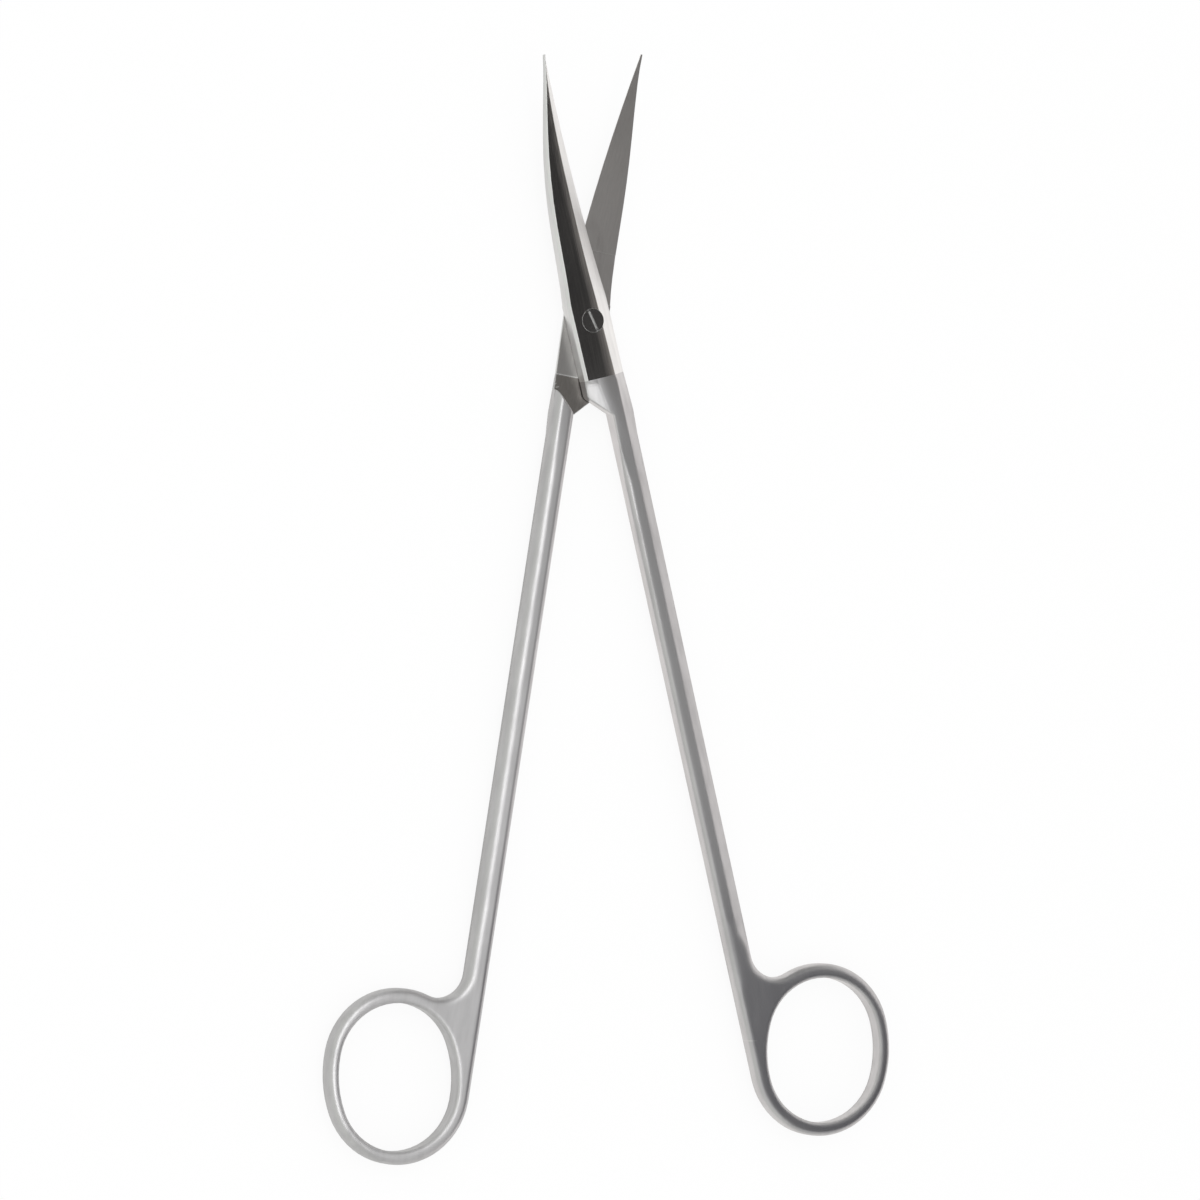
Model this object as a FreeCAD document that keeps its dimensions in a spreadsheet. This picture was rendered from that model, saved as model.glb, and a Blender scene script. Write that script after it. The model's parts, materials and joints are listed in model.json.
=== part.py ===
import FreeCAD, Part
import math
import os
import Sketcher

# Curved dissecting scissors, 200 mm long when closed, lying flat with the tips curving up.
# Two forged halves cross in a lap joint and turn on one slotted pivot screw.
# The origin is on the pivot axis at the underside of the joint, +Y runs to the tips, +Z is up.
# Each half is drawn closed, with its blade along +Y and its shank at one side of the centre line,
# and is then swung out by half of the opening.

TINY = 0.001             # mm, lengths below this count as nothing

# Shares that place a section between the sizes on either side of it.
SUNK_ROOT = 0.2          # of root_inset, how deep the joint's root lies in the shank
SUNK_SHOULDER = 0.1      # of root_inset, how far the shoulder stands in from the shank's side
SHOULDER_HEIGHT = 0.7    # from the shank's face to the joint's
HEEL_EDGE = 0.3          # from the shank's width to the blade's
HEEL_LAND = 0.68         # from the shoulder's land to the cutting edge's
SLENDER = 0.55           # how much earlier the spine narrows between two stations than halfway
POINT_CHAMFER = 0.7      # of spine_chamfer, what is left of it near the tip
TIP_HOLLOW = 0.2         # of hollow, what is left of it at the tip
TIP_CHAMFER = 0.8        # of the tip's half width

doc = FreeCAD.newDocument("dissecting_scissors")
sheet = doc.addObject("Spreadsheet::Sheet", "size")
sheet.Label = "size"

DRIVING_SIZES = [
    ("half_opening", 11.5),
    # joint
    ("joint_depth", 2.8),
    ("ride_gap", 0.02),
    ("seat_recess", 0.15),
    ("ride_back", 10.2),
    ("heel_reach", 17.1),
    ("heel_width", 3.9),
    ("heel_round", 1.2),
    ("stop_gap", 0.06),
    ("shoulder_land", 1.55),
    ("shoulder_bevel", 2.2),
    ("shoulder_slope", 3.4),
    ("shoulder_drop", 0.9),
    ("collar_back", 1.0),
    ("collar_slope", 2.4),
    ("collar_drop", 0.55),
    # blade
    ("blade_reach", 47.6),
    ("blade_rise", 6.3),
    ("curve_start", 3.5),
    ("tip_depth", 0.8),
    ("tip_width", 0.3),
    ("edge_width", 4.6),
    ("edge_belly", 0.06),
    ("edge_land", 0.12),
    ("spine_width", 4.1),
    ("knee_reach", 25.0),
    ("knee_width", 3.0),
    ("spine_chamfer", 0.5),
    ("bevel_angle", 40.0),
    ("hollow", 0.22),
    # shank
    ("shank_gap", 0.08),
    ("shank_depth", 3.5),
    ("front_root_width", 4.5),
    ("rear_root_width", 4.1),
    ("front_shank_width", 4.3),
    ("rear_shank_width", 4.0),
    ("edge_round", 1.0),
    ("crown_round", 1.3),
    ("shank_bevel_width", 1.95),
    ("shank_bevel_drop", 0.7),
    ("bevel_fade", 5.0),
    ("root_inset", 0.6),
    ("blend_reach", 31.0),
    # finger rings
    ("ring_reach", 136.8),
    ("ring_wall", 2.45),
    ("hole_chamfer", 0.4),
    ("hole_shift", 0.3),
    ("hole_drop", 0.17),
    ("ring_half_length", 13.0),
    ("ring_half_width", 11.15),
    ("ring_end_less", 0.3),
    ("ring_tilt", 13.6),
    ("crotch_radius", 5.0),
    # pivot screw
    ("screw_radius", 1.3),
    ("head_radius", 2.1),
    ("head_depth", 1.1),
    ("running_gap", 0.03),
    ("thread_gap", 0.01),
    ("slot_width", 0.42),
    ("slot_depth", 0.6),
    ("slot_angle", 24.0),
    ("screw_chamfer", 0.1),
]

for row, (alias, value) in enumerate(DRIVING_SIZES, start=1):
    sheet.set(f"A{row}", alias)
    sheet.set(f"B{row}", str(value))
    sheet.setAlias(f"B{row}", alias)
doc.recompute()


class Formula:
    """A length or angle worked out from the sheet, with its present value."""

    def __init__(self, text, value):
        self.text = text
        self.value = value

    def joined(self, other, sign, value):
        return Formula(f"({self.text} {sign} {other.text})", value)

    def __add__(self, other):
        other = formula(other)
        return self.joined(other, "+", self.value + other.value)

    def __radd__(self, other):
        return formula(other) + self

    def __sub__(self, other):
        other = formula(other)
        return self.joined(other, "-", self.value - other.value)

    def __rsub__(self, other):
        return formula(other) - self

    def __mul__(self, other):
        other = formula(other)
        return self.joined(other, "*", self.value * other.value)

    def __rmul__(self, other):
        return formula(other) * self

    def __truediv__(self, other):
        other = formula(other)
        return self.joined(other, "/", self.value / other.value)

    def __neg__(self):
        return formula(0) - self


def formula(term):
    if isinstance(term, Formula):
        return term
    return Formula(repr(float(term)), float(term))


def cell(alias):
    return Formula(f"size.{alias}", float(sheet.get(alias)))


def root(term):
    return Formula(f"sqrt({term.text})", math.sqrt(term.value))


def sine(term):
    return Formula(f"sin({term.text})", math.sin(math.radians(term.value)))


def cosine(term):
    return Formula(f"cos({term.text})", math.cos(math.radians(term.value)))


def tangent(term):
    return Formula(f"tan({term.text})", math.tan(math.radians(term.value)))


def between(first, second, share):
    return first + (second - first) * share


def bind(thing, path, term):
    thing.setExpression(path, formula(term).text)


# Sketch tools: a closed outline is a list of corners, each tied to the sheet in both directions,
# and an edge between two corners is straight or an arc of a bound radius.

def new_body(name):
    body = doc.addObject("PartDesign::Body", name)
    body.Label = name
    return body


def new_sketch(body, name, role, along=(0, 0, 0)):
    plane = next(item for item in body.Origin.OriginFeatures if item.Role == role)
    sketch = body.newObject("Sketcher::SketchObject", name)
    sketch.AttachmentSupport = (plane, [""])
    sketch.MapMode = "FlatFace"
    offset = [formula(term) for term in along]
    sketch.AttachmentOffset = FreeCAD.Placement(
        FreeCAD.Vector(*[term.value for term in offset]), FreeCAD.Rotation())
    for axis, term in zip("xyz", offset):
        if term.value:
            bind(sketch, f"AttachmentOffset.Base.{axis}", term)
    return sketch


def arc_centre(start, end, radius, turn):
    middle = (start + end) * 0.5
    chord = end - start
    reach = math.sqrt(max(radius * radius - chord.Length ** 2 / 4, 0.0))
    across = FreeCAD.Vector(-chord.y, chord.x, 0).normalize()
    return middle + across * reach * turn


def draw_outline(sketch, corners):
    """Corners are (x, y) or (x, y, radius, turn); the last two shape the edge that leaves it."""
    points = [FreeCAD.Vector(formula(c[0]).value, formula(c[1]).value, 0) for c in corners]
    ends = []
    for index, corner in enumerate(corners):
        start = points[index]
        end = points[(index + 1) % len(points)]
        if len(corner) == 2:
            number = sketch.addGeometry(Part.LineSegment(start, end), False)
            ends.append((number, 1, 2))
            continue
        radius = formula(corner[2])
        turn = corner[3]
        centre = arc_centre(start, end, radius.value, turn)
        low, high = (start, end) if turn > 0 else (end, start)
        angles = [math.atan2(p.y - centre.y, p.x - centre.x) for p in (low, high)]
        circle = Part.Circle(centre, FreeCAD.Vector(0, 0, 1), radius.value)
        number = sketch.addGeometry(Part.ArcOfCircle(circle, angles[0], angles[1]), False)
        ends.append((number, 1, 2) if turn > 0 else (number, 2, 1))
    for index, corner in enumerate(corners):
        number, start_end, far_end = ends[index]
        following = ends[(index + 1) % len(ends)]
        sketch.addConstraint(
            Sketcher.Constraint("Coincident", number, far_end, following[0], following[1]))
    for index, corner in enumerate(corners):
        number, start_end, far_end = ends[index]
        for kind, term, value in (
                ("DistanceX", corner[0], points[index].x),
                ("DistanceY", corner[1], points[index].y)):
            tie = sketch.addConstraint(
                Sketcher.Constraint(kind, -1, 1, number, start_end, value))
            bind(sketch, f"Constraints[{tie}]", term)
        if len(corner) > 2:
            tie = sketch.addConstraint(
                Sketcher.Constraint("Radius", number, formula(corner[2]).value))
            bind(sketch, f"Constraints[{tie}]", corner[2])


def mirrored(corners, side):
    """Swap an outline to the other side of the centre line when side is -1."""
    if side > 0:
        return corners
    return [(-formula(c[0]),) + tuple(c[1:3]) + tuple(-t for t in c[3:]) for c in corners]


def new_feature(body, kind, name, sketch):
    feature = body.newObject(kind, name)
    feature.Profile = sketch
    return feature


def cut_from(body, name, sketch, upward):
    """Cut the whole half away on one side of the sketch plane."""
    pocket = new_feature(body, "PartDesign::Pocket", name, sketch)
    pocket.Type = "ThroughAll"
    pocket.Reversed = upward
    return pocket


# Joint and blade: six-cornered sections, stacked along the half and lofted.
# A section runs from the cutting edge over the bevel and the outer face to the spine,
# and the inner face is hollow: it falls away from the cutting edge towards the spine.
# Between the root and the ride the faces are flat; from the ride to the tip they curve.

class Section:
    """One cross-section, given by its place along the half and its own sizes."""

    def __init__(self, name, reach, thickness, edge, spine):
        self.name = name
        self.reach = reach
        self.thickness = thickness
        self.edge = edge
        self.spine = spine
        self.rise = formula(0)
        self.land = cell("edge_land")
        self.bevel_run = None
        self.chamfer = cell("spine_chamfer")
        self.chamfer_run = None
        self.hollow = formula(0)
        self.below = formula(0)


def joint_sections(root_width):
    """From inside the shank, over the shoulder and the heel, to the start of the curve."""
    depth = cell("joint_depth")
    shank_half = cell("shank_depth") / 2
    inset = cell("root_inset")
    sink = inset * SUNK_ROOT
    root_section = Section("root", -cell("blend_reach"), shank_half - sink,
                           root_width - inset, formula(0))
    root_section.bevel_run = cell("shank_bevel_width") - inset
    root_section.land = (shank_half - sink - cell("shank_bevel_drop")
                         * root_section.bevel_run / cell("shank_bevel_width"))
    root_section.chamfer = cell("edge_round")
    root_section.chamfer_run = cell("edge_round") + cell("shank_gap")
    shoulder = Section("shoulder", -cell("heel_reach"), between(shank_half, depth, SHOULDER_HEIGHT),
                       root_width - inset * SUNK_SHOULDER, cell("heel_width"))
    shoulder.land = cell("shoulder_land")
    shoulder.bevel_run = cell("shoulder_bevel")
    shoulder.chamfer = cell("shoulder_drop")
    shoulder.chamfer_run = cell("shoulder_slope")
    heel = Section("heel", -cell("ride_back"), depth,
                   between(root_width, cell("edge_width"), HEEL_EDGE), cell("heel_width"))
    heel.land = between(cell("shoulder_land"), cell("edge_land"), HEEL_LAND)
    back = cell("collar_back") / (cell("heel_reach") - cell("ride_back"))
    collar = Section("collar", between(heel.reach, shoulder.reach, back),
                     between(heel.thickness, shoulder.thickness, back),
                     between(heel.edge, shoulder.edge, back), cell("heel_width"))
    collar.land = between(heel.land, shoulder.land, back)
    collar.chamfer = cell("collar_drop")
    collar.chamfer_run = cell("collar_slope")
    ride = Section("ride", cell("curve_start"), depth, cell("edge_width"), cell("spine_width"))
    sections = [root_section, shoulder, collar, heel, ride]
    for section in sections:
        section.below = shank_half / 4
    return sections


def blade_sections():
    """From the ride to the tip; the share is 0 where the curve starts and 1 at the tip."""
    start = cell("curve_start")
    reach = cell("blade_reach")
    point = cell("tip_width") / 2
    knee = (cell("knee_reach") - start) / (reach - start)
    beyond = 1 - knee
    stations = [
        ("curve", formula(0), cell("spine_width"), 1.0),
        ("middle", knee * 0.5, between(cell("spine_width"), cell("knee_width"), SLENDER), 1.0),
        ("knee", knee, cell("knee_width"), 1.0),
        ("point", knee + beyond * SLENDER, between(cell("knee_width"), point, SLENDER), POINT_CHAMFER),
        ("tip", formula(1), point, 0.0),
    ]
    sections = []
    for name, share, spine, chamfer_share in stations:
        straight = between(cell("edge_width"), point, share)
        section = Section(name, between(start, reach, share),
                          between(cell("joint_depth"), cell("tip_depth"), share),
                          straight + 4 * cell("edge_belly") * share * (1 - share), spine)
        section.rise = cell("blade_rise") * share * share
        section.chamfer = cell("spine_chamfer") * chamfer_share
        section.hollow = between(cell("hollow"), cell("hollow") * TIP_HOLLOW, share)
        sections.append(section)
    tip = sections[-1]
    tip.bevel_run = point
    tip.chamfer = TIP_CHAMFER * point
    return sections


def section_outline(section, side, outward):
    """Corners of one section; outward is +1 when the outer face looks up."""
    rise = section.rise
    gap = cell("ride_gap")
    land = section.land + gap
    run = section.bevel_run or (section.thickness - land) / tangent(cell("bevel_angle"))
    crest = section.edge - run
    return mirrored([
        (section.edge, rise + outward * (gap - section.below)),
        (section.edge, rise + outward * land),
        (crest, rise + outward * section.thickness),
        ((section.chamfer_run or section.chamfer) - section.spine,
         rise + outward * section.thickness),
        (-section.spine, rise + outward * (section.thickness - section.chamfer)),
        (-section.spine, rise + outward * (gap - section.below + section.hollow)),
    ], side)


def add_loft(body, name, sections, side, outward, ruled):
    sketches = []
    for section in sections:
        sketch = new_sketch(body, f"{body.Label}_{section.name}", "XZ_Plane",
                            (0, 0, -section.reach))
        draw_outline(sketch, section_outline(section, side, outward))
        sketches.append(sketch)
    loft = new_feature(body, "PartDesign::AdditiveLoft", f"{body.Label}_{name}", sketches[0])
    loft.Sections = sketches[1:]
    loft.Ruled = ruled
    return loft


# Handle: shank and finger ring in one outline. The ring is a four-centre oval,
# and the outer side of the shank runs into it over a concave arc.

def ring_terms(shift, drop):
    """Centres and radii of the ring's oval, moved outward by shift and back by drop."""
    length = cell("ring_half_length")
    width = cell("ring_half_width")
    end_radius = width - cell("ring_end_less")
    wall = cell("ring_wall")
    side_radius = ((length - end_radius) * (length - end_radius) + width * width
                   - end_radius * end_radius) / (2 * (width - end_radius))
    along = (sine(cell("ring_tilt")), cosine(cell("ring_tilt")))
    across = (along[1], -along[0])
    flank = cell("shank_gap") + wall + side_radius - (side_radius - width) * across[0]
    centre = (flank + shift, -drop - cell("ring_reach"))

    def place(along_share, across_share):
        return tuple(centre[i] + along_share * along[i] + across_share * across[i]
                     for i in (0, 1))

    end_shift = length - end_radius
    side_shift = side_radius - width
    return dict(
        side_radius=side_radius, end_radius=end_radius, wall=wall, centre=centre,
        top=place(end_shift, 0), bottom=place(-end_shift, 0),
        inner_side=place(0, side_shift), outer_side=place(0, -side_shift),
        spread=side_radius - end_radius)


def oval_point(ring, end, side, radius):
    """Where the arc about an end centre meets the arc about a side centre."""
    return tuple(ring[end][i] + (ring[end][i] - ring[side][i]) * radius / ring["spread"]
                 for i in (0, 1))


def handle_outline(side, root_width, shank_width):
    ring = ring_terms(formula(0), formula(0))
    wall = ring["wall"]
    end_radius = ring["end_radius"] + wall
    side_radius = ring["side_radius"] + wall
    gap = cell("shank_gap")
    heel = cell("heel_reach") + cell("stop_gap") * math.sqrt(2)
    outer = gap + shank_width
    crotch = cell("crotch_radius")
    crotch_x = outer + crotch
    lift = root((end_radius + crotch) * (end_radius + crotch)
                - (crotch_x - ring["top"][0]) * (crotch_x - ring["top"][0]))
    crotch_y = ring["top"][1] + lift
    share = end_radius / (end_radius + crotch)
    touch = (between(ring["top"][0], crotch_x, share), between(ring["top"][1], crotch_y, share))
    low_inner = oval_point(ring, "bottom", "inner_side", end_radius)
    low_outer = oval_point(ring, "bottom", "outer_side", end_radius)
    high_outer = oval_point(ring, "top", "outer_side", end_radius)
    return mirrored([
        (gap, gap - heel),
        (gap, ring["inner_side"][1], side_radius, 1),
        low_inner + (end_radius, 1),
        low_outer + (side_radius, 1),
        high_outer + (end_radius, 1),
        touch + (crotch, -1),
        (outer, crotch_y),
        (root_width, root_width - heel),
    ], side)


def hole_outline(side):
    ring = ring_terms(cell("hole_shift"), cell("hole_drop"))
    end_radius = ring["end_radius"]
    side_radius = ring["side_radius"]
    return mirrored([
        oval_point(ring, "top", "inner_side", end_radius) + (side_radius, 1),
        oval_point(ring, "bottom", "inner_side", end_radius) + (end_radius, 1),
        oval_point(ring, "bottom", "outer_side", end_radius) + (side_radius, 1),
        oval_point(ring, "top", "outer_side", end_radius) + (end_radius, 1),
    ], side)


def on_shoulder(edge):
    """The slanted end of the shank, where the other half comes to rest."""
    first, last = (vertex.Point for vertex in edge.Vertexes)
    run = abs(first.x - last.x)
    return run > TINY and abs(run - abs(first.y - last.y)) < TINY


def is_level(edge):
    return edge.BoundBox.ZLength < TINY


def is_upright(edge):
    return edge.BoundBox.XLength < TINY and edge.BoundBox.YLength < TINY


def edge_names(shape, wanted):
    return [f"Edge{number}" for number, edge in enumerate(shape.Edges, start=1) if wanted(edge)]


def dress_edges(body, kind, name, wanted, amount, alias):
    """Round or chamfer the wanted edges of what the body is so far by one size of the sheet."""
    doc.recompute()
    base = body.Tip
    feature = body.newObject(kind, name)
    feature.Base = (base, edge_names(base.Shape, wanted))
    setattr(feature, amount, cell(alias).value)
    bind(feature, amount, cell(alias))
    doc.recompute()


def round_face(body, height, alias):
    """Round the handle's outline at one of its two level faces."""
    def wanted(edge):
        at_height = abs(edge.BoundBox.ZMax - height) < TINY
        return is_level(edge) and at_height and not on_shoulder(edge)

    face = "upper" if height > 0 else "lower"
    dress_edges(body, "PartDesign::Fillet", f"{body.Label}_{face}_round", wanted,
                "Radius", alias)


def make_handle(body, side, outward, root_width, shank_width):
    sketch = new_sketch(body, f"{body.Label}_handle_outline", "XY_Plane")
    draw_outline(sketch, handle_outline(side, root_width, shank_width))
    pad = new_feature(body, "PartDesign::Pad", f"{body.Label}_handle", sketch)
    pad.Midplane = True
    pad.Length = cell("shank_depth").value
    bind(pad, "Length", cell("shank_depth"))
    outer_height = outward * cell("shank_depth").value / 2
    round_face(body, outer_height, "edge_round")
    round_face(body, -outer_height, "crown_round")
    cut_hole(body, side)
    bevel_shank(body, side, outward, root_width, shank_width)


def cut_hole(body, side):
    """Open the finger ring and chamfer both its rims."""
    known = [edge.CenterOfMass for edge in body.Tip.Shape.Edges]
    sketch = new_sketch(body, f"{body.Label}_hole_outline", "XY_Plane")
    draw_outline(sketch, hole_outline(side))
    hole = new_feature(body, "PartDesign::Pocket", f"{body.Label}_hole", sketch)
    hole.Type = "ThroughAll"
    hole.Midplane = True

    def on_rim(edge):
        centre = edge.CenterOfMass
        return is_level(edge) and all(centre.distanceToPoint(place) > TINY for place in known)

    dress_edges(body, "PartDesign::Chamfer", f"{body.Label}_hole_chamfer", on_rim,
                "Size", "hole_chamfer")


def bevel_shank(body, side, outward, root_width, shank_width):
    """Bevel the outer edge of the shank from the joint down; it fades out before the ring."""
    width = cell("shank_bevel_width")
    drop = cell("shank_bevel_drop")
    half = cell("shank_depth") / 2
    outer = cell("shank_gap") + shank_width
    crotch_y = handle_outline(1, root_width, shank_width)[-2][1]
    stations = [
        ("start", -cell("ride_back"), root_width),
        ("middle", crotch_y + cell("bevel_fade"), outer),
        ("end", crotch_y, outer + width),
    ]
    sketches = []
    for name, reach, edge in stations:
        sketch = new_sketch(body, f"{body.Label}_bevel_{name}", "XZ_Plane", (0, 0, -reach))
        draw_outline(sketch, mirrored([
            (edge - width, outward * half),
            (edge + width, outward * (half - 2 * drop)),
            (edge + width, outward * 2 * half),
            (edge - width, outward * 2 * half),
        ], side))
        sketches.append(sketch)
    bevel = new_feature(body, "PartDesign::SubtractiveLoft", f"{body.Label}_bevel", sketches[0])
    bevel.Sections = sketches[1:]
    bevel.Ruled = True


def make_blank(body, side, outward, root_width, shank_width):
    """The forging before its joint is cut."""
    make_handle(body, side, outward, root_width, shank_width)
    add_loft(body, "joint_block", joint_sections(root_width), side, outward, True)
    add_loft(body, "blade", blade_sections(), side, outward, False)


# Cuts that make the lap joint.

def cut_joint(body, side, outward):
    heel = cell("heel_reach")
    gap = cell("shank_gap")
    wide = 2 * cell("edge_width")
    low = 2 * cell("blend_reach")
    shoulder = heel + cell("stop_gap") * math.sqrt(2)
    ride_gap = cell("ride_gap")
    upward = outward < 0

    sketch = new_sketch(body, f"{body.Label}_heel_outline", "XY_Plane")
    draw_outline(sketch, mirrored([
        (gap, -heel - gap),
        (gap, -low),
        (-wide, -low),
        (-wide, wide - heel),
        (formula(0), -heel),
    ], side))
    heel_cut = new_feature(body, "PartDesign::Pocket", f"{body.Label}_heel", sketch)
    heel_cut.Type = "ThroughAll"
    heel_cut.Midplane = True

    sketch = new_sketch(body, f"{body.Label}_lap_outline", "XY_Plane",
                        (0, 0, outward * ride_gap))
    draw_outline(sketch, mirrored([
        (-wide, -shoulder),
        (formula(0), -shoulder),
        (wide, wide - shoulder),
        (wide, cell("knee_reach") / 2),
        (-wide, cell("knee_reach") / 2),
    ], side))
    cut_from(body, f"{body.Label}_lap", sketch, upward)

    sketch = new_sketch(body, f"{body.Label}_seat_outline", "XY_Plane",
                        (0, 0, outward * (ride_gap + cell("seat_recess"))))
    reach = shoulder - cell("ride_back")
    draw_outline(sketch, mirrored([
        (-wide, -shoulder),
        (formula(0), -shoulder),
        (reach, -cell("ride_back")),
        (-wide, -cell("ride_back")),
    ], side))
    cut_from(body, f"{body.Label}_seat", sketch, upward)


def round_heel(body, side):
    """Round the upright corner where the heel's slant meets the spine side."""
    corner = FreeCAD.Vector(-side * cell("heel_width").value,
                            cell("heel_width").value - cell("heel_reach").value, 0)

    def at_corner(edge):
        foot = edge.Vertexes[0].Point
        foot.z = 0
        return is_upright(edge) and foot.distanceToPoint(corner) < TINY

    dress_edges(body, "PartDesign::Fillet", f"{body.Label}_heel_round", at_corner,
                "Radius", "heel_round")


def turn_profile(body, name, kind, corners):
    sketch = new_sketch(body, f"{name}_profile", "XZ_Plane")
    draw_outline(sketch, corners)
    turned = new_feature(body, kind, name, sketch)
    turned.ReferenceAxis = (sketch, ["V_Axis"])
    turned.Angle = 360.0
    return turned


def make_front_half():
    body = new_body("front_half")
    make_blank(body, 1, 1, cell("front_root_width"), cell("front_shank_width"))
    cut_joint(body, 1, 1)
    round_heel(body, 1)
    bore = cell("screw_radius") + cell("running_gap")
    mouth = cell("head_radius") + cell("running_gap")
    top = cell("joint_depth")
    turn_profile(body, "front_half_countersink", "PartDesign::Groove", [
        (formula(0), -top),
        (bore, -top),
        (bore, top - cell("head_depth")),
        (mouth, top - cell("screw_chamfer")),
        (mouth, 2 * top),
        (formula(0), 2 * top),
    ])
    return body


def make_rear_half():
    body = new_body("rear_half")
    make_blank(body, -1, -1, cell("rear_root_width"), cell("rear_shank_width"))
    cut_joint(body, -1, -1)
    round_heel(body, -1)
    bore = cell("screw_radius") + cell("thread_gap")
    depth = 2 * cell("joint_depth")
    turn_profile(body, "rear_half_bore", "PartDesign::Groove", [
        (formula(0), -depth),
        (bore, -depth),
        (bore, depth),
        (formula(0), depth),
    ])
    return body


def make_pivot_screw():
    body = new_body("pivot_screw")
    shaft = cell("screw_radius")
    head = cell("head_radius")
    top = cell("joint_depth")
    chamfer = cell("screw_chamfer")
    turn_profile(body, "pivot_screw_turned", "PartDesign::Revolution", [
        (formula(0), -top),
        (shaft - chamfer, -top),
        (shaft, chamfer - top),
        (shaft, top - cell("head_depth")),
        (head, top - chamfer),
        (head - chamfer * 0.5, top),
        (formula(0), top),
    ])
    sketch = new_sketch(body, "pivot_screw_slot_outline", "XY_Plane",
                        (0, 0, top - cell("slot_depth")))
    half = cell("slot_width") / 2
    draw_outline(sketch, [
        (-half, -2 * head),
        (half, -2 * head),
        (half, 2 * head),
        (-half, 2 * head),
    ])
    cut_from(body, "pivot_screw_slot", sketch, True)
    return body


def place_body(body, angle):
    body.Placement = FreeCAD.Placement(
        FreeCAD.Vector(0, 0, cell("joint_depth").value),
        FreeCAD.Rotation(FreeCAD.Vector(0, 0, 1), formula(angle).value))
    bind(body, "Placement.Base.z", cell("joint_depth"))
    bind(body, "Placement.Rotation.Angle", angle)


front_half = make_front_half()
rear_half = make_rear_half()
pivot_screw = make_pivot_screw()
place_body(front_half, cell("half_opening"))
place_body(rear_half, -cell("half_opening"))
place_body(pivot_screw, cell("slot_angle"))
doc.recompute()

for item in doc.Objects:
    if "Invalid" in item.State or "Error" in item.State:
        raise SystemExit(f"{item.Label} did not build: {item.State}")

bodies = [front_half, rear_half, pivot_screw]
for body in bodies:
    if body.Shape.isNull() or not body.Shape.isValid():
        raise SystemExit(f"{body.Label} has no valid shape")

os.makedirs("parts", exist_ok=True)
for body in bodies:
    body.Shape.exportStep(f"parts/{body.Label}.step")
    box = body.Shape.BoundBox
    print(body.Label, len(body.Shape.Solids), round(body.Shape.Volume, 2),
          [round(v, 2) for v in (box.XMin, box.XMax, box.YMin, box.YMax, box.ZMin, box.ZMax)])
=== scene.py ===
import json
import math

import bpy
from mathutils import Matrix, Vector


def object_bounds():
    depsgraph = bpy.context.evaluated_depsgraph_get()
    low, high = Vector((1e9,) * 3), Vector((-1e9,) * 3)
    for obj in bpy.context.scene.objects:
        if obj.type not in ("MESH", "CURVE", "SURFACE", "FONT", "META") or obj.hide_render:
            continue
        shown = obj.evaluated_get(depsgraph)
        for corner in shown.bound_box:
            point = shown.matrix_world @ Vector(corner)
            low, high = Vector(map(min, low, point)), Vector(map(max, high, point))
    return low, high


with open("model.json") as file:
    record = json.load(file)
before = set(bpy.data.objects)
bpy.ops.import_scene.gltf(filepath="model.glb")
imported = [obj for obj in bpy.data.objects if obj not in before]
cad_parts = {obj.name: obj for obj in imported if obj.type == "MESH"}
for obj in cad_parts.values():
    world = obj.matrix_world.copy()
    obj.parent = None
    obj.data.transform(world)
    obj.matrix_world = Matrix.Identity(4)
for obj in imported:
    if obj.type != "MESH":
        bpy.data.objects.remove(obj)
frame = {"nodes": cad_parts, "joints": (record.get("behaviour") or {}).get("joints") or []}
cad_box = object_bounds()

# Slender curved scissors of stainless steel, lying on a white table with the tips curving up.
# Lengths are in metres. Each half has its own plane axes, as if it were closed:
# v runs along the half towards the tip and u across it, to the right.

MM = 0.001
PIVOT = Vector(frame["joints"][0]["pos_m"])
HALF_OPENING = math.radians(frame["joints"][0]["range_deg"][0]) / -2
JOINT_DEPTH = PIVOT.z
TURN = {"front_half": HALF_OPENING, "rear_half": -HALF_OPENING}    # of each half about the pivot
OUTWARD = {"front_half": 1, "rear_half": -1}                       # the way its outer face looks
RIDE_BACK = 10.2 * MM       # from the pivot back to where the joint's ground faces end
RIDE_FRONT = 3.5 * MM       # from the pivot forward to where the blade begins to curve
SEAT_BACK = 17.5 * MM       # from the pivot back to the end of the sunk seat


# Materials: every one is metal, coloured and roughened by noise in the object's own axes.

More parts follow.
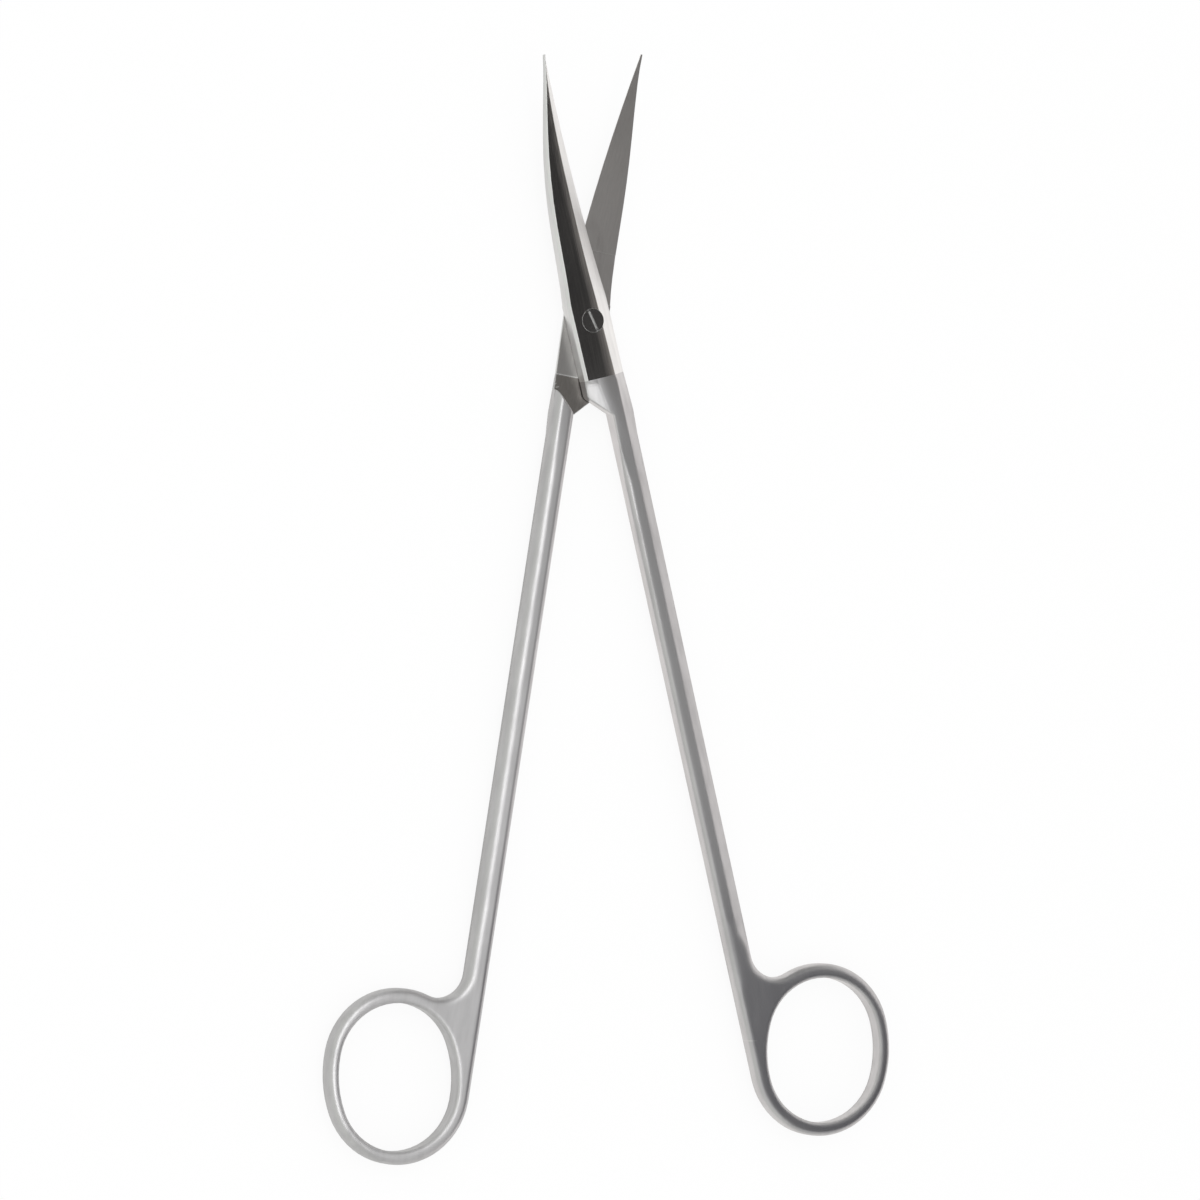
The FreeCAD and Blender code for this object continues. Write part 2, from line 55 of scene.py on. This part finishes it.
class Nodes:
    """Short calls for the nodes of one material."""

    def __init__(self, name):
        self.material = bpy.data.materials.new(name)
        self.material.use_nodes = True
        self.tree = self.material.node_tree
        self.shader = self.tree.nodes["Principled BSDF"]

    def add(self, kind, **settings):
        node = self.tree.nodes.new(kind)
        for key, value in settings.items():
            setattr(node, key, value)
        return node

    def link(self, source, target):
        self.tree.links.new(source, target)

    def feed(self, socket, value):
        """Links a socket to a socket, or sets a plain value."""
        if isinstance(value, bpy.types.NodeSocket):
            self.link(value, socket)
        else:
            socket.default_value = value

    def maths(self, operation, first, second=0.0, third=0.0):
        node = self.add("ShaderNodeMath", operation=operation)
        for socket, value in zip(node.inputs, (first, second, third)):
            self.feed(socket, value)
        return node.outputs[0]

    def ranged(self, value, low, high, to_low=0.0, to_high=1.0, smooth=False):
        node = self.add("ShaderNodeMapRange")
        node.interpolation_type = "SMOOTHSTEP" if smooth else "LINEAR"
        for socket, term in zip(node.inputs, (value, low, high, to_low, to_high)):
            self.feed(socket, term)
        return node.outputs[0]

    def noise(self, vector, scale, detail, roughness):
        node = self.add("ShaderNodeTexNoise")
        self.feed(node.inputs["Vector"], vector)
        node.inputs["Scale"].default_value = scale
        node.inputs["Detail"].default_value = detail
        node.inputs["Roughness"].default_value = roughness
        return node.outputs["Fac"]

    def mixed(self, share, first, second):
        node = self.add("ShaderNodeMix", data_type="RGBA")
        self.feed(node.inputs["Factor"], share)
        self.feed(node.inputs["A"], first)
        self.feed(node.inputs["B"], second)
        return node.outputs["Result"]

    def turned(self, angle):
        """Object coordinates turned by an angle about Z, so that they follow one half."""
        coordinates = self.add("ShaderNodeTexCoord").outputs["Object"]
        turned = self.add("ShaderNodeVectorRotate", rotation_type="Z_AXIS")
        self.link(coordinates, turned.inputs["Vector"])
        turned.inputs["Angle"].default_value = -angle
        return turned.outputs[0]

    def place(self, angle):
        """The u and v coordinates of one half."""
        split = self.add("ShaderNodeSeparateXYZ")
        self.link(self.turned(angle), split.inputs[0])
        return split.outputs[0], split.outputs[1]

    def along(self, angle, stretch):
        """Coordinates that follow one half, stretched along its v axis."""
        scaled = self.add("ShaderNodeVectorMath", operation="MULTIPLY")
        self.link(self.turned(angle), scaled.inputs[0])
        scaled.inputs[1].default_value = (1.0, 1.0 / stretch, 1.0)
        return scaled.outputs[0]

    def rounded(self, radius, samples, mask):
        """Normals rounded over the sharp edges, and how near to such an edge a point lies."""
        bevel = self.add("ShaderNodeBevel", samples=samples)
        self.feed(bevel.inputs["Radius"], radius)
        flat = self.add("ShaderNodeNewGeometry").outputs["Normal"]
        product = self.add("ShaderNodeVectorMath", operation="DOT_PRODUCT")
        self.link(bevel.outputs[0], product.inputs[0])
        self.link(flat, product.inputs[1])
        return bevel.outputs[0], self.ranged(product.outputs["Value"], *mask, smooth=True)

    def mark(self, angle, u, v, half_length, tilt):
        """A fine scratch of given middle, half length and direction on one half, as a mask."""
        across, along = self.place(angle)
        out = self.maths("SUBTRACT", across, u)
        up = self.maths("SUBTRACT", along, v)
        cosine, sine = math.cos(tilt), math.sin(tilt)
        lengthwise = self.maths("MULTIPLY_ADD", out, cosine, self.maths("MULTIPLY", up, sine))
        sideways = self.maths("MULTIPLY_ADD", out, -sine, self.maths("MULTIPLY", up, cosine))
        on_length = self.ranged(self.maths("ABSOLUTE", lengthwise),
                                half_length, half_length * SCRATCH_CORE)
        on_width = self.ranged(self.maths("ABSOLUTE", sideways), SCRATCH_WIDTH, 0.0)
        return self.maths("MULTIPLY", on_length, on_width)

    def bumped(self, height, distance, normal):
        """Normals that follow a height in units of the distance."""
        node = self.add("ShaderNodeBump")
        node.inputs["Strength"].default_value = 1.0
        node.inputs["Distance"].default_value = distance
        self.link(height, node.inputs["Height"])
        self.link(normal, node.inputs["Normal"])
        return node.outputs[0]


SCRATCH_WIDTH = 0.10 * MM   # half of a scratch's width
SCRATCH_CORE = 0.6          # the share of its length over which a scratch is at its brightest
SCRATCHED = (0.80, 0.80, 0.78, 1)
SCRATCHES = {               # middle u and v, half length, direction in degrees
    "satin_left": [(0.9 * MM, -131.7 * MM, 0.95 * MM, -13)],
    "seat_right": [(-4.1 * MM, -12.0 * MM, 0.35 * MM, 35), (-3.6 * MM, -12.5 * MM, 0.4 * MM, 20)],
}

NEUTRAL = (1.0, 1.0, 1.0)
LILAC = (1.0, 0.99, 1.005)
PINKISH = (1.02, 0.995, 0.98)
BROWNISH = (1.06, 1.0, 0.95)


def tinted(grey, tint=NEUTRAL):
    return (*(grey * channel for channel in tint), 1)


# Noise scales, in waves a metre, and how much longer than wide the waves are.
STREAK_SCALE, STREAK_STRETCH = 1700.0, 40.0
BLOTCH_SCALE, BLOTCH_STRETCH = 220.0, 2.0
SWELL_SCALE, SWELL_STRETCH = 260.0, 3.0
GRAIN_DETAIL, GRAIN_ROUGHNESS = 3.0, 0.6
BLOTCH_DETAIL, BLOTCH_ROUGHNESS = 3.0, 0.55
SWELL_DETAIL, SWELL_ROUGHNESS = 1.0, 0.4
TONE_SPAN = (0.35, 0.65)    # the shares of noise from the darkest spots to the brightest
ROUGH_SPAN = (0.3, 0.7)     # the shares of noise from the dullest spots to the shiniest
DULLER, SHINIER = 1.2, 0.85     # how rough those spots are, as shares of the roughness
BRIGHTEST = 0.95            # no edge reflects more


def steel(name, angle, grey, roughness, grain, stretch, tint=NEUTRAL, spread=0.12, depth=0.002,
          wave=0.0, edge=0.12, samples=6, mask=(0.96, 0.80), edge_wear_and_highlight=1.15, dome=None, uneven=0.0,
          soft=True):
    """Steel ground or blasted: fine grain along the angle, broad streaks, blotches, brighter
    edges.

    Grain is in lines a metre; depth, wave, uneven and edge are in millimetres, and edge may also
    be a function that gives the radius place by place. Spread is how much darker the dull spots
    are, and mask how far a rounded normal turns from full face to full edge. The edges are
    brighter by a given share, for wear and, where the share is large, as a painted highlight.
    Dome is a function that gives a broad height. Where soft is False, the edges are brighter but
    their normals stay sharp.
    """
    nodes = Nodes(name)
    shader = nodes.shader
    shader.inputs["Metallic"].default_value = 1.0
    lines = nodes.noise(nodes.along(angle, stretch), grain, GRAIN_DETAIL, GRAIN_ROUGHNESS)
    blotches = nodes.noise(nodes.along(angle, BLOTCH_STRETCH), BLOTCH_SCALE,
                           BLOTCH_DETAIL, BLOTCH_ROUGHNESS)
    radius = edge(nodes, angle) if callable(edge) else edge * MM
    normal, near_edge = nodes.rounded(radius, samples, mask)
    if not soft:
        normal = nodes.add("ShaderNodeNewGeometry").outputs["Normal"]
    shade = nodes.maths("MULTIPLY_ADD", lines, 0.5, nodes.maths("MULTIPLY", blotches, 0.5))
    tone = nodes.mixed(nodes.ranged(shade, *TONE_SPAN, smooth=True),
                       tinted(grey * (1 - spread), tint), tinted(grey, tint))
    for u, v, half_length, direction in SCRATCHES.get(name, []):
        scratch = nodes.mark(angle, u, v, half_length, math.radians(direction))
        tone = nodes.mixed(scratch, tone, SCRATCHED)
    # The edges' colour: brighter for wear, and much brighter as a painted highlight on the ride
    # and seat.
    bright = tinted(min(BRIGHTEST, grey * edge_wear_and_highlight))
    nodes.link(nodes.mixed(near_edge, tone, bright), shader.inputs["Base Color"])
    rough = nodes.ranged(shade, *ROUGH_SPAN, roughness * DULLER, roughness * SHINIER)
    nodes.link(rough, shader.inputs["Roughness"])
    if dome:
        normal = nodes.bumped(dome(nodes, angle), 1.0, normal)
    if uneven:
        swell = nodes.noise(nodes.along(angle, SWELL_STRETCH), SWELL_SCALE,
                            SWELL_DETAIL, SWELL_ROUGHNESS)
        normal = nodes.bumped(swell, uneven * MM, normal)
    if wave:
        streaks = nodes.noise(nodes.along(angle, STREAK_STRETCH), STREAK_SCALE,
                              GRAIN_DETAIL, GRAIN_ROUGHNESS)
        normal = nodes.bumped(streaks, wave * MM, normal)
    nodes.link(nodes.bumped(lines, depth * MM, normal), shader.inputs["Normal"])
    return nodes.material


FACET_TAPER = 0.0324        # how fast the facet's right side nears the middle towards the tip
FACET_CREST = 1.54 * MM     # the u of its right side at the pivot
DOME_WIDTH = 1.8 * MM
DOME_DROP = 0.17 * MM


def facet_dome(nodes, angle):
    """Height of the polished facet, which falls away a little towards the bevel."""
    across, along = nodes.place(angle)
    from_crest = nodes.maths("SUBTRACT", nodes.maths("MULTIPLY_ADD", along, FACET_TAPER, across),
                             FACET_CREST)
    share = nodes.maths("MAXIMUM", nodes.ranged(from_crest, -DOME_WIDTH, 0.0), 0.0)
    return nodes.maths("MULTIPLY", nodes.maths("POWER", share, 2.0), -DOME_DROP)


CREASE_TAPER = 0.169        # how fast the crease nears the middle towards the shank
CREASE_START = -3.40 * MM   # the u where it would cross the pivot's line
ROUND_SLOPE = 0.19          # the turn at the crease, spread over the reach on both sides
ROUND_REACH = 2.2 * MM
JOINT_LEAN = 0.045          # how much the whole joint falls away to the right
COLLAR_BACK = 11.2 * MM     # from the pivot back to where the collar has its full slope
COLLAR_REACH = 1.9 * MM
COLLAR_SLOPE = 0.10
JOINT_FULL = -17.5 * MM     # the v where the form begins to fade, and where it has gone
JOINT_END = -26.0 * MM


def joint_dome(nodes, angle):
    """Height that turns the crease on the outer side of the joint into one round form."""
    across, along = nodes.place(angle)
    crease = nodes.maths("MULTIPLY_ADD", along, -CREASE_TAPER, CREASE_START)
    past = nodes.maths("SUBTRACT", across, crease)
    inside = nodes.maths("MINIMUM", nodes.maths("MAXIMUM", past, 0.0), ROUND_REACH)
    outside = nodes.maths("MAXIMUM", nodes.maths("MULTIPLY", past, -1.0), 0.0)
    inner = nodes.maths("MULTIPLY", nodes.maths("MULTIPLY_ADD", inside, -0.5 / ROUND_REACH, 1.0),
                        nodes.maths("MULTIPLY", inside, ROUND_SLOPE))
    outer = nodes.maths("MULTIPLY", nodes.maths("POWER", outside, 2.0),
                        -0.5 * ROUND_SLOPE / ROUND_REACH)
    flush = nodes.maths("MINIMUM", outside,
                        nodes.ranged(along, -COLLAR_BACK, -RIDE_BACK, 0.0, COLLAR_REACH))
    outer = nodes.maths("MULTIPLY_ADD", flush, -COLLAR_SLOPE, outer)
    outer = nodes.maths("MULTIPLY_ADD", across, -JOINT_LEAN, outer)
    fade = nodes.ranged(along, JOINT_END, JOINT_FULL, smooth=True)
    return nodes.maths("MULTIPLY", nodes.maths("ADD", inner, outer), fade)


CROWN_LINE = -0.9 * MM      # the u of the crown's highest line, near the shank's inner side
CROWN_BEND = 16.0           # a metre, half of one over its radius
CROWN_END = -118 * MM       # the v where the crown has gone, and where it is full
CROWN_FULL = -104 * MM


def crown_dome(nodes, angle):
    """Height that crowns the upper side of the rear shank."""
    across, along = nodes.place(angle)
    out = nodes.maths("SUBTRACT", across, CROWN_LINE)
    fade = nodes.ranged(along, CROWN_END, CROWN_FULL, smooth=True)
    crown = nodes.maths("MULTIPLY", nodes.maths("POWER", out, 2.0), -CROWN_BEND)
    return nodes.maths("MULTIPLY", crown, fade)


SHANK_SOFTNESS = {          # of the left and of the right side
    "front_half": (0.9 * MM, 0.9 * MM),
    "rear_half": (2.0 * MM, 0.3 * MM),
}
SOFT_LEFT = -2.6 * MM       # the u where the left side's softness ends and the right's begins
SOFT_RIGHT = -1.4 * MM
CROTCH = -116 * MM          # the v of the corner between the front shank and its ring
CROTCH_SOFTNESS = 1.8 * MM
CROTCH_CORE = 4 * MM        # how far from the corner it is full, and how far it reaches
CROTCH_REACH = 10 * MM
RING_SOFTNESS = 1.0 * MM
RING_FULL = -128 * MM       # the v where the ring's softness is full, and where it begins
RING_START = -112 * MM
JOINT_SOFTNESS = 0.45 * MM
JOINT_START = -31 * MM      # the v where the joint's softness begins, and where it is full
JOINT_SHARP = -17 * MM


def softness(nodes, angle):
    """Radius over which the blasted surface rounds its edges, largest along the shanks."""
    across, along = nodes.place(angle)
    left, right = SHANK_SOFTNESS["front_half" if angle > 0 else "rear_half"]
    shank = nodes.ranged(across, SOFT_LEFT, SOFT_RIGHT, left, right, smooth=True)
    ring = nodes.ranged(along, RING_FULL, RING_START, RING_SOFTNESS, shank, smooth=True)
    if angle > 0:
        from_crotch = nodes.maths("ABSOLUTE", nodes.maths("SUBTRACT", along, CROTCH))
        crotch = nodes.ranged(from_crotch, CROTCH_REACH, CROTCH_CORE, 0.0, CROTCH_SOFTNESS,
                              smooth=True)
        ring = nodes.maths("MAXIMUM", ring, crotch)
    return nodes.ranged(along, JOINT_START, JOINT_SHARP, ring, JOINT_SOFTNESS, smooth=True)


def half_materials(angle):
    """The finishes of one half, by region."""
    tag = "left" if angle > 0 else "right"
    facet = facet_dome if angle > 0 else None
    # The rear half's satin is a lighter grey than the front's, though both are one steel: painted
    # light that brightens the rear shank's highlight.
    grey, dome = (0.60, joint_dome) if angle > 0 else (0.64, crown_dome)
    return {
        "satin": steel(f"satin_{tag}", angle, grey=grey, roughness=0.32, grain=900.0,
                       stretch=6.0, tint=LILAC, uneven=0.05, edge=softness, samples=8,
                       edge_wear_and_highlight=1.05, dome=dome),
        "mirror": steel(f"mirror_{tag}", angle, grey=0.68, roughness=0.12, grain=1600.0,
                        stretch=40.0, spread=0.28, depth=0.001, wave=0.030, edge=0.06,
                        dome=facet),
        "ground": steel(f"ground_{tag}", angle, grey=0.50, roughness=0.42, grain=2200.0,
                        stretch=14.0, tint=PINKISH, spread=0.15, edge=0.06),
        "bevel": steel(f"bevel_{tag}", angle, grey=0.85, roughness=0.40, grain=1500.0,
                       stretch=20.0, spread=0.08, depth=0.001, edge=0.3, edge_wear_and_highlight=1.0),
        # The ride's edges nearly twice as bright: wear, and a painted highlight along them.
        "ride": steel(f"ride_{tag}", angle, grey=0.42, roughness=0.40, grain=1800.0,
                      stretch=10.0, tint=PINKISH, spread=0.15, edge=0.3,
                      mask=(0.985, 0.90), edge_wear_and_highlight=1.9, soft=False),
        # The seat's edges over three times as bright: a painted highlight along its chamfers.
        "seat": steel(f"seat_{tag}", angle, grey=0.28, roughness=0.38, grain=1400.0,
                      stretch=3.0, tint=BROWNISH, spread=0.25, depth=0.004, edge=0.35,
                      mask=(0.97, 0.88), edge_wear_and_highlight=3.2, soft=False),
    }


LEVEL = 0.9                 # the least Z of the normal of a face that counts as level


def region(node, centre, normal):
    """Which finish a face of a half has, from its place and the way it looks."""
    turn = TURN[node]
    outward = OUTWARD[node]
    along = centre.y * math.cos(turn) - centre.x * math.sin(turn)
    facing = normal.z * outward
    above = (centre.z - JOINT_DEPTH) * outward
    if along > -RIDE_BACK:
        if facing > LEVEL:
            return "mirror"
        if facing < -LEVEL:
            return "ground" if along > RIDE_FRONT else "ride"
        return "bevel"
    if along > -SEAT_BACK and facing < -LEVEL and above > 0.0:
        return "seat"
    return "satin"


for name, turn in TURN.items():
    node = frame["nodes"][name]
    finishes = half_materials(turn)
    node.data.materials.clear()
    for material in finishes.values():
        node.data.materials.append(material)
    order = list(finishes)
    for face in node.data.polygons:
        face.material_index = order.index(region(name, face.center, face.normal))

SLOT_ANGLE = math.radians(24)
screw = frame["nodes"]["pivot_screw"]
screw.data.materials.clear()
screw.data.materials.append(
    steel("screw_steel", SLOT_ANGLE, grey=0.56, roughness=0.16, grain=1800.0, stretch=3.0,
          spread=0.2, edge=0.03, edge_wear_and_highlight=0.8))


# Studio: a white table and a white room, with dark and tinted cards that only the metal shows.

WHITE = (1, 1, 1, 1)


def opaque(colour):
    return (*colour, 1)


def glowing(name, colour, far_colour, axis, start, end, side=None):
    """A glowing material whose colour changes along one axis, 0 for X or 1 for Y.

    Side, if given, is a third colour and the span of the front half's u over which it comes in.
    """
    nodes = Nodes(name)
    nodes.tree.nodes.remove(nodes.shader)
    glow = nodes.add("ShaderNodeEmission")
    split = nodes.add("ShaderNodeSeparateXYZ")
    nodes.link(nodes.add("ShaderNodeTexCoord").outputs["Object"], split.inputs[0])
    share = nodes.ranged(split.outputs[axis], start, end, smooth=True)
    tone = nodes.mixed(share, opaque(colour), opaque(far_colour))
    if side:
        side_colour, inner, outer = side
        across = nodes.place(HALF_OPENING)[0]
        tone = nodes.mixed(nodes.ranged(across, inner, outer, smooth=True), tone,
                           opaque(side_colour))
    nodes.link(tone, glow.inputs["Color"])
    nodes.link(glow.outputs[0], nodes.tree.nodes["Material Output"].inputs["Surface"])
    return nodes.material


def flat_object(name, corners):
    """An object with one polygon."""
    mesh = bpy.data.meshes.new(name)
    mesh.from_pydata(corners, [], [tuple(range(len(corners)))])
    thing = bpy.data.objects.new(name, mesh)
    bpy.context.scene.collection.objects.link(thing)
    return thing


CARD_HEIGHT = 0.066
BLADE_CARD = [(0.008, 0.09), (0.008, -0.012), (0.10, -0.012), (0.10, 0.09)]
BLADE_CARD_DARK = (0.038, 0.036, 0.035)     # above the blades
BLADE_CARD_PALE = (0.42, 0.39, 0.365)       # to the right of them
BLADE_CARD_SPAN = (0.020, 0.085)            # the X from the one to the other
SHANK_CARD = [
    (0.008, -0.012), (0.020, -0.024), (0.0, -0.032), (-0.006, -0.059), (-0.014, -0.10),
    (-0.010, -0.20), (0.26, -0.20), (0.26, -0.128), (0.08, -0.110), (0.10, -0.012),
]
SHANK_CARD_GREY = (0.29, 0.29, 0.285)       # above the shanks
SHANK_CARD_DARK = (0.085, 0.085, 0.095)     # above the rings
SHANK_CARD_SPAN = (-0.090, -0.130)          # the Y from the one to the other
SHANK_CARD_LEFT = (0.66, 0.66, 0.65)        # to the left of the front half
SHANK_CARD_SIDE = (SHANK_CARD_LEFT, 0.016, -0.016)


def add_card(name, outline, material):
    """A level card over the object that only reflections see."""
    card = flat_object(name, [(x, y, CARD_HEIGHT) for x, y in outline])
    card.data.materials.append(material)
    card.visible_camera = False
    card.visible_diffuse = False
    card.visible_shadow = False


TABLE_SIZE = 3.0
TABLE_DROP = 0.2 * MM       # below the object
TABLE_GREY = 0.86
TABLE_ROUGHNESS = 0.9
TABLE_GLOW = 0.9            # the share of its glow in what the camera and the metal see
GLOW_LEFT = (0.72, 0.72, 0.70, 1)
GLOW_RIGHT = (1.08, 1.05, 1.02, 1)
GLOW_SPLIT = (-0.014, 0.002)        # the X from the one to the other
GLOW_FALL = (-0.13, -0.06)          # the Y over which the right-hand glow grows to full
GLOW_AT_RINGS = 0.68


def add_floor():
    """A white table, which the metal sees a little greyer beside the handles."""
    size = TABLE_SIZE
    floor = flat_object("table_top", [(-size, -size, 0), (size, -size, 0), (size, size, 0),
                                      (-size, size, 0)])
    floor.location.z = cad_box[0].z - TABLE_DROP
    nodes = Nodes("table_white")
    nodes.shader.inputs["Base Color"].default_value = tinted(TABLE_GREY)
    nodes.shader.inputs["Roughness"].default_value = TABLE_ROUGHNESS
    split = nodes.add("ShaderNodeSeparateXYZ")
    nodes.link(nodes.add("ShaderNodeTexCoord").outputs["Object"], split.inputs[0])
    path = nodes.add("ShaderNodeLightPath")
    to_right = nodes.ranged(split.outputs[0], *GLOW_SPLIT, smooth=True)
    to_blades = nodes.ranged(split.outputs[1], *GLOW_FALL, GLOW_AT_RINGS, 1.0, smooth=True)
    right_share = nodes.maths("MULTIPLY", to_right, to_blades)
    reflected = nodes.mixed(right_share, GLOW_LEFT, GLOW_RIGHT)
    glow = nodes.add("ShaderNodeEmission")
    nodes.link(nodes.mixed(path.outputs["Is Camera Ray"], reflected, WHITE),
               glow.inputs["Color"])
    seen = nodes.maths("MAXIMUM", path.outputs["Is Camera Ray"], path.outputs["Is Glossy Ray"])
    share = nodes.maths("MULTIPLY", seen, TABLE_GLOW)
    mix = nodes.add("ShaderNodeMixShader")
    nodes.link(share, mix.inputs["Fac"])
    nodes.link(nodes.shader.outputs[0], mix.inputs[1])
    nodes.link(glow.outputs[0], mix.inputs[2])
    nodes.link(mix.outputs[0], nodes.tree.nodes["Material Output"].inputs["Surface"])
    floor.data.materials.append(nodes.material)


LEFT_WALL = (0.74, 0.75, 0.72, 1)
CEILING_LEFT = (0.76, 0.77, 0.735, 1)
CEILING = (0.62, 0.62, 0.61, 1)
RIGHT_WALL = (0.97, 0.94, 0.92, 1)
ROOM = [                    # what the metal sees, by the X of the direction
    (-1.0, LEFT_WALL), (-0.94, LEFT_WALL), (-0.75, CEILING_LEFT), (-0.30, CEILING_LEFT),
    (0.0, CEILING), (0.45, CEILING), (0.85, RIGHT_WALL),
]


def set_world():
    """A white room, which the metal sees greyer overhead and on the left."""
    world = bpy.data.worlds.new("white_room")
    bpy.context.scene.world = world
    world.use_nodes = True
    tree = world.node_tree
    background = tree.nodes["Background"]
    background.inputs["Strength"].default_value = 1.0
    split = tree.nodes.new("ShaderNodeSeparateXYZ")
    tree.links.new(tree.nodes.new("ShaderNodeTexCoord").outputs["Generated"], split.inputs[0])
    share = tree.nodes.new("ShaderNodeMapRange")
    tree.links.new(split.outputs[0], share.inputs["Value"])
    share.inputs["From Min"].default_value = -1.0
    room = tree.nodes.new("ShaderNodeValToRGB")
    tree.links.new(share.outputs[0], room.inputs["Fac"])
    stops = room.color_ramp.elements
    while len(stops) < len(ROOM):
        stops.new(0.5)
    for stop, (direction, colour) in zip(stops, ROOM):
        stop.position = (direction + 1) / 2
        stop.color = colour
    seen = tree.nodes.new("ShaderNodeMix")
    seen.data_type = "RGBA"
    path = tree.nodes.new("ShaderNodeLightPath")
    tree.links.new(path.outputs["Is Glossy Ray"], seen.inputs["Factor"])
    seen.inputs["A"].default_value = WHITE
    tree.links.new(room.outputs["Color"], seen.inputs["B"])
    tree.links.new(seen.outputs["Result"], background.inputs["Color"])


LAMP_PLACE = (-0.06, -0.04, 0.60)
LAMP_SIZE = (0.24, 0.60)
LAMP_POWER = 0.62


def add_lamp():
    """A soft lamp overhead, looking straight down."""
    light = bpy.data.lights.new("overhead_lamp", "AREA")
    light.shape = "RECTANGLE"
    light.size, light.size_y = LAMP_SIZE
    light.energy = LAMP_POWER
    lamp = bpy.data.objects.new("overhead_lamp", light)
    bpy.context.scene.collection.objects.link(lamp)
    lamp.location = LAMP_PLACE


add_floor()
set_world()
add_card("blade_card", BLADE_CARD,
         glowing("blade_card", BLADE_CARD_DARK, BLADE_CARD_PALE, 0, *BLADE_CARD_SPAN))
add_card("shank_card", SHANK_CARD,
         glowing("shank_card", SHANK_CARD_GREY, SHANK_CARD_DARK, 1, *SHANK_CARD_SPAN,
                 side=SHANK_CARD_SIDE))
add_lamp()


# Camera: the photograph's, leaning to the left of the pivot axis, with a small roll and pitch.

LEAN = math.radians(24.0)
PITCH = 0.0082
ROLL = 0.0320
DISTANCE = 1.28763
PIVOT_IN_VIEW = Vector((-2.340, 49.325, 0)) * MM    # the pivot's place from the picture's centre
SENSOR = 36.0
LENS = 218.46
NEAREST, FARTHEST = 0.05, 20.0


def add_camera():
    across = Vector((math.cos(LEAN), 0, math.sin(LEAN)))
    back = Vector((-math.sin(LEAN), 0, math.cos(LEAN)))
    up = Vector((0, 1, 0))
    up, back = (up * math.cos(PITCH) - back * math.sin(PITCH),
                up * math.sin(PITCH) + back * math.cos(PITCH))
    across, up = (across * math.cos(ROLL) - up * math.sin(ROLL),
                  across * math.sin(ROLL) + up * math.cos(ROLL))
    lens = bpy.data.cameras.new("camera")
    lens.lens = LENS
    lens.sensor_width = SENSOR
    lens.clip_start, lens.clip_end = NEAREST, FARTHEST
    camera = bpy.data.objects.new("camera", lens)
    bpy.context.scene.collection.objects.link(camera)
    place = PIVOT - across * PIVOT_IN_VIEW.x - up * PIVOT_IN_VIEW.y + back * DISTANCE
    turned = Matrix((across, up, back)).transposed().to_4x4()
    camera.matrix_world = Matrix.Translation(place) @ turned
    bpy.context.scene.camera = camera


add_camera()
bpy.context.scene.view_settings.view_transform = "Standard"
